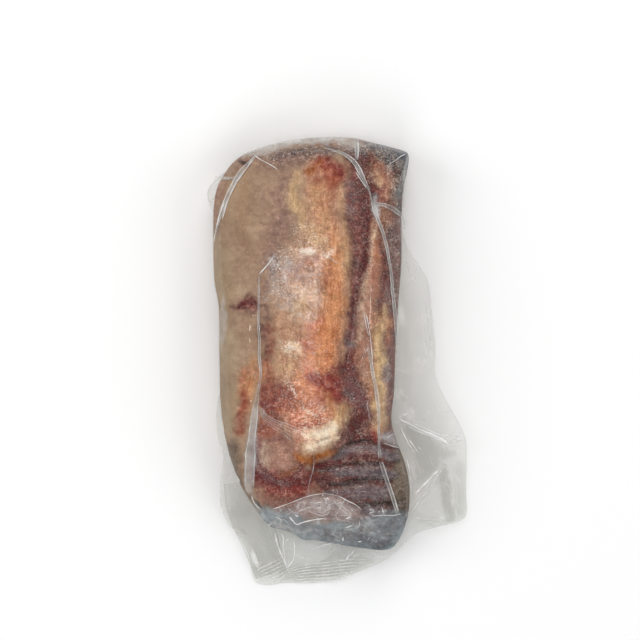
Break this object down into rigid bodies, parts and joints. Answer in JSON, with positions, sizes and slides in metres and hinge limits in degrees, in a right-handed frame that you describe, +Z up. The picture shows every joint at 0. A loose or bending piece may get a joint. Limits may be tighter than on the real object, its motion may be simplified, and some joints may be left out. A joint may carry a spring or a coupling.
{
  "type": "vacuum-packed beef tongue",
  "caption": "Frozen beef tongue lying underside up in a clear vacuum bag, a flat-bottomed block with loose film flaps at one side and the root end.",
  "frame": {"origin": "middle of the bag's box, at the level it rests on", "axes": "+Y along the tongue from the root end to the front end, +Z up out of the shown side, +X towards the wide flap"},
  "size_m": [0.1674, 0.2886, 0.0624],
  "materials": {
    "bag_over_meat": "dark red and tan frozen meat seen through tight glossy film",
    "clear_film": "clear glossy bag film with pleats and creases",
    "tongue_meat": "frozen tongue: tan skin, orange and red muscle, cream fat, frost"
  },
  "bodies": {
    "root": {"vacuum_bag": "bag_over_meat"}
  },
  "joints": []
}
